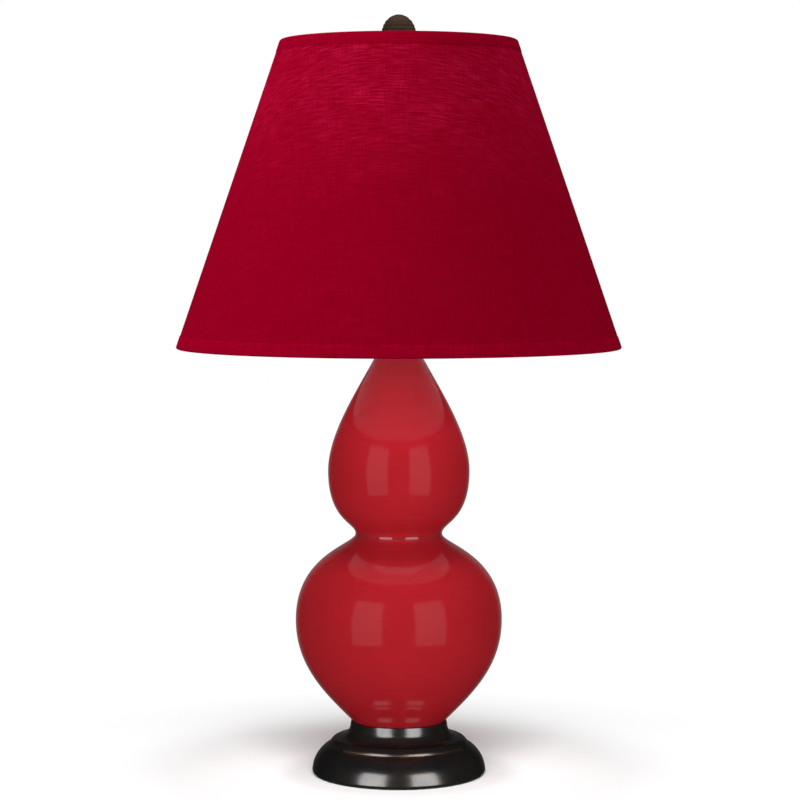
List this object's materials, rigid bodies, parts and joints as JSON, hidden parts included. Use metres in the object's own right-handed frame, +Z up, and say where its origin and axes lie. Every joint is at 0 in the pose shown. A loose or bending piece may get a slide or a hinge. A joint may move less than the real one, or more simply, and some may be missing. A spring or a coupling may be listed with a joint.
{
  "type": "table lamp",
  "caption": "Table lamp with a glazed double gourd body, turned bronze foot, tapered cloth shade on a harp, and ribbed finial.",
  "frame": {"origin": "centre of the underside, on the surface that the lamp stands on", "axes": "+Z up along the turned axis; -Y is the front, with the switch knob; the harp spreads along X"},
  "size_m": [0.332, 0.332, 0.5663],
  "materials": {
    "felt": "pressed felt",
    "bronze": "dark patinated bronze, satin",
    "black_plastic": "moulded",
    "steel": "zinc plated",
    "cork_rubber": "cut sheet",
    "red_glaze": "clear gloss glaze over red",
    "brass": "bright lacquered",
    "card": "pressed card",
    "phenolic": "moulded phenolic",
    "black_glass": "vitrified",
    "aluminium": "rolled",
    "frosted_glass": "soft white",
    "white_steel": "white powder coat",
    "white_liner": "styrene sheet",
    "red_cloth": "plain weave with slubs"
  },
  "bodies": {
    "lamp": {"base_felt": "felt", "base_foot": "bronze", "cord_bushing": "black_plastic", "base_washer": "steel", "base_nut": "steel", "gourd_gasket": "cork_rubber", "gourd_body": "red_glaze", "lamp_pipe": "steel", "neck_cap": "bronze", "neck_spacer": "bronze", "harp_saddle": "brass", "socket_cap": "brass", "socket_set_screw": "steel", "socket_shell": "brass", "socket_liner": "card", "socket_body": "phenolic", "terminal_screws": "brass", "screw_shell": "brass", "centre_contact": "brass"},
    "switch_knob": {"switch_stem": "brass", "switch_knob": "black_plastic"},
    "bulb": {"bulb_tip": "steel", "bulb_insulator": "black_glass", "bulb_base": "aluminium", "bulb_glass": "frosted_glass"},
    "harp": {"harp_wire": "brass"},
    "ferrule_left": {"ferrule_left": "brass"},
    "ferrule_right": {"ferrule_right": "brass"},
    "harp_stud": {"harp_stud": "brass"},
    "shade": {"shade_spider": "white_steel", "shade_bottom_ring": "white_steel", "shade_liner": "white_liner", "shade_fabric": "red_cloth", "shade_top_hem": "red_cloth", "shade_bottom_hem": "red_cloth"},
    "finial": {"finial_base": "bronze", "finial_knob": "bronze"}
  },
  "joints": [
    {"name": "knob_turn", "type": "hinge", "parent": "lamp", "child": "switch_knob", "pos_m": [0, -0.02, 0.3584], "axis": [0, -1, 0], "continuous": true},
    {"name": "bulb_unscrew", "type": "slide", "parent": "lamp", "child": "bulb", "axis": [0, 0, 1], "range_m": [0, 0.028]},
    {"name": "harp_lift", "type": "slide", "parent": "lamp", "child": "harp", "axis": [0, 0, 1], "range_m": [0, 0.02]},
    {"name": "ferrule_left_lift", "type": "slide", "parent": "harp", "child": "ferrule_left", "axis": [0, 0, 1], "range_m": [0, 0.018]},
    {"name": "ferrule_right_lift", "type": "slide", "parent": "harp", "child": "ferrule_right", "axis": [0, 0, 1], "range_m": [0, 0.018]},
    {"name": "stud_swivel", "type": "hinge", "parent": "harp", "child": "harp_stud", "pos_m": [0, 0, 0.5298], "axis": [0, 0, 1], "continuous": true},
    {"name": "shade_lift", "type": "slide", "parent": "harp_stud", "child": "shade", "axis": [0, 0, 1], "range_m": [0, 0.25]},
    {"name": "finial_unscrew", "type": "slide", "parent": "shade", "child": "finial", "axis": [0, 0, 1], "range_m": [0, 0.02]}
  ]
}
